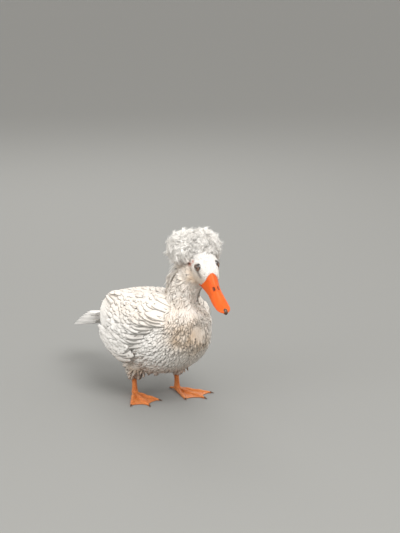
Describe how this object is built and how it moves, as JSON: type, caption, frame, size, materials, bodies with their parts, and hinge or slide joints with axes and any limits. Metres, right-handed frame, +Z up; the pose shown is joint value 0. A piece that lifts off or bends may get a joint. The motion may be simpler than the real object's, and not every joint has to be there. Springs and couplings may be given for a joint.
{
  "type": "crested duck",
  "caption": "White crested domestic duck standing still on both webbed feet, with a round loose crest on the back of its head and an orange bill.",
  "frame": {"origin": "middle of the duck's bounding box on the floor under its feet", "axes": "+X towards the breast and bill, +Y to the duck's left, +Z up"},
  "size_m": [0.4176, 0.1596, 0.2995],
  "materials": {
    "feather_white": "soft matt warm white feathers, stained low on the belly",
    "feather_cream": "soft matt feathers stained cream and tan",
    "bill_orange": "smooth leathery horn with a soft sheen",
    "nail_horn": "hard dark horn",
    "leg_skin": "finely scaled skin",
    "eye_brown": "wet dark brown eye"
  },
  "bodies": {
    "root": {"torso": "feather_white", "neck": "feather_cream", "head": "feather_cream", "crest": "feather_white", "bill_upper": "bill_orange", "bill_lower": "bill_orange", "bill_nail": "nail_horn", "eye_left": "eye_brown", "eye_right": "eye_brown", "wing_left": "feather_white", "wing_right": "feather_white", "thigh_left": "feather_white", "thigh_right": "feather_white", "shank_left": "leg_skin", "shank_right": "leg_skin", "foot_left": "leg_skin", "foot_right": "leg_skin", "tail": "feather_white"}
  },
  "joints": []
}
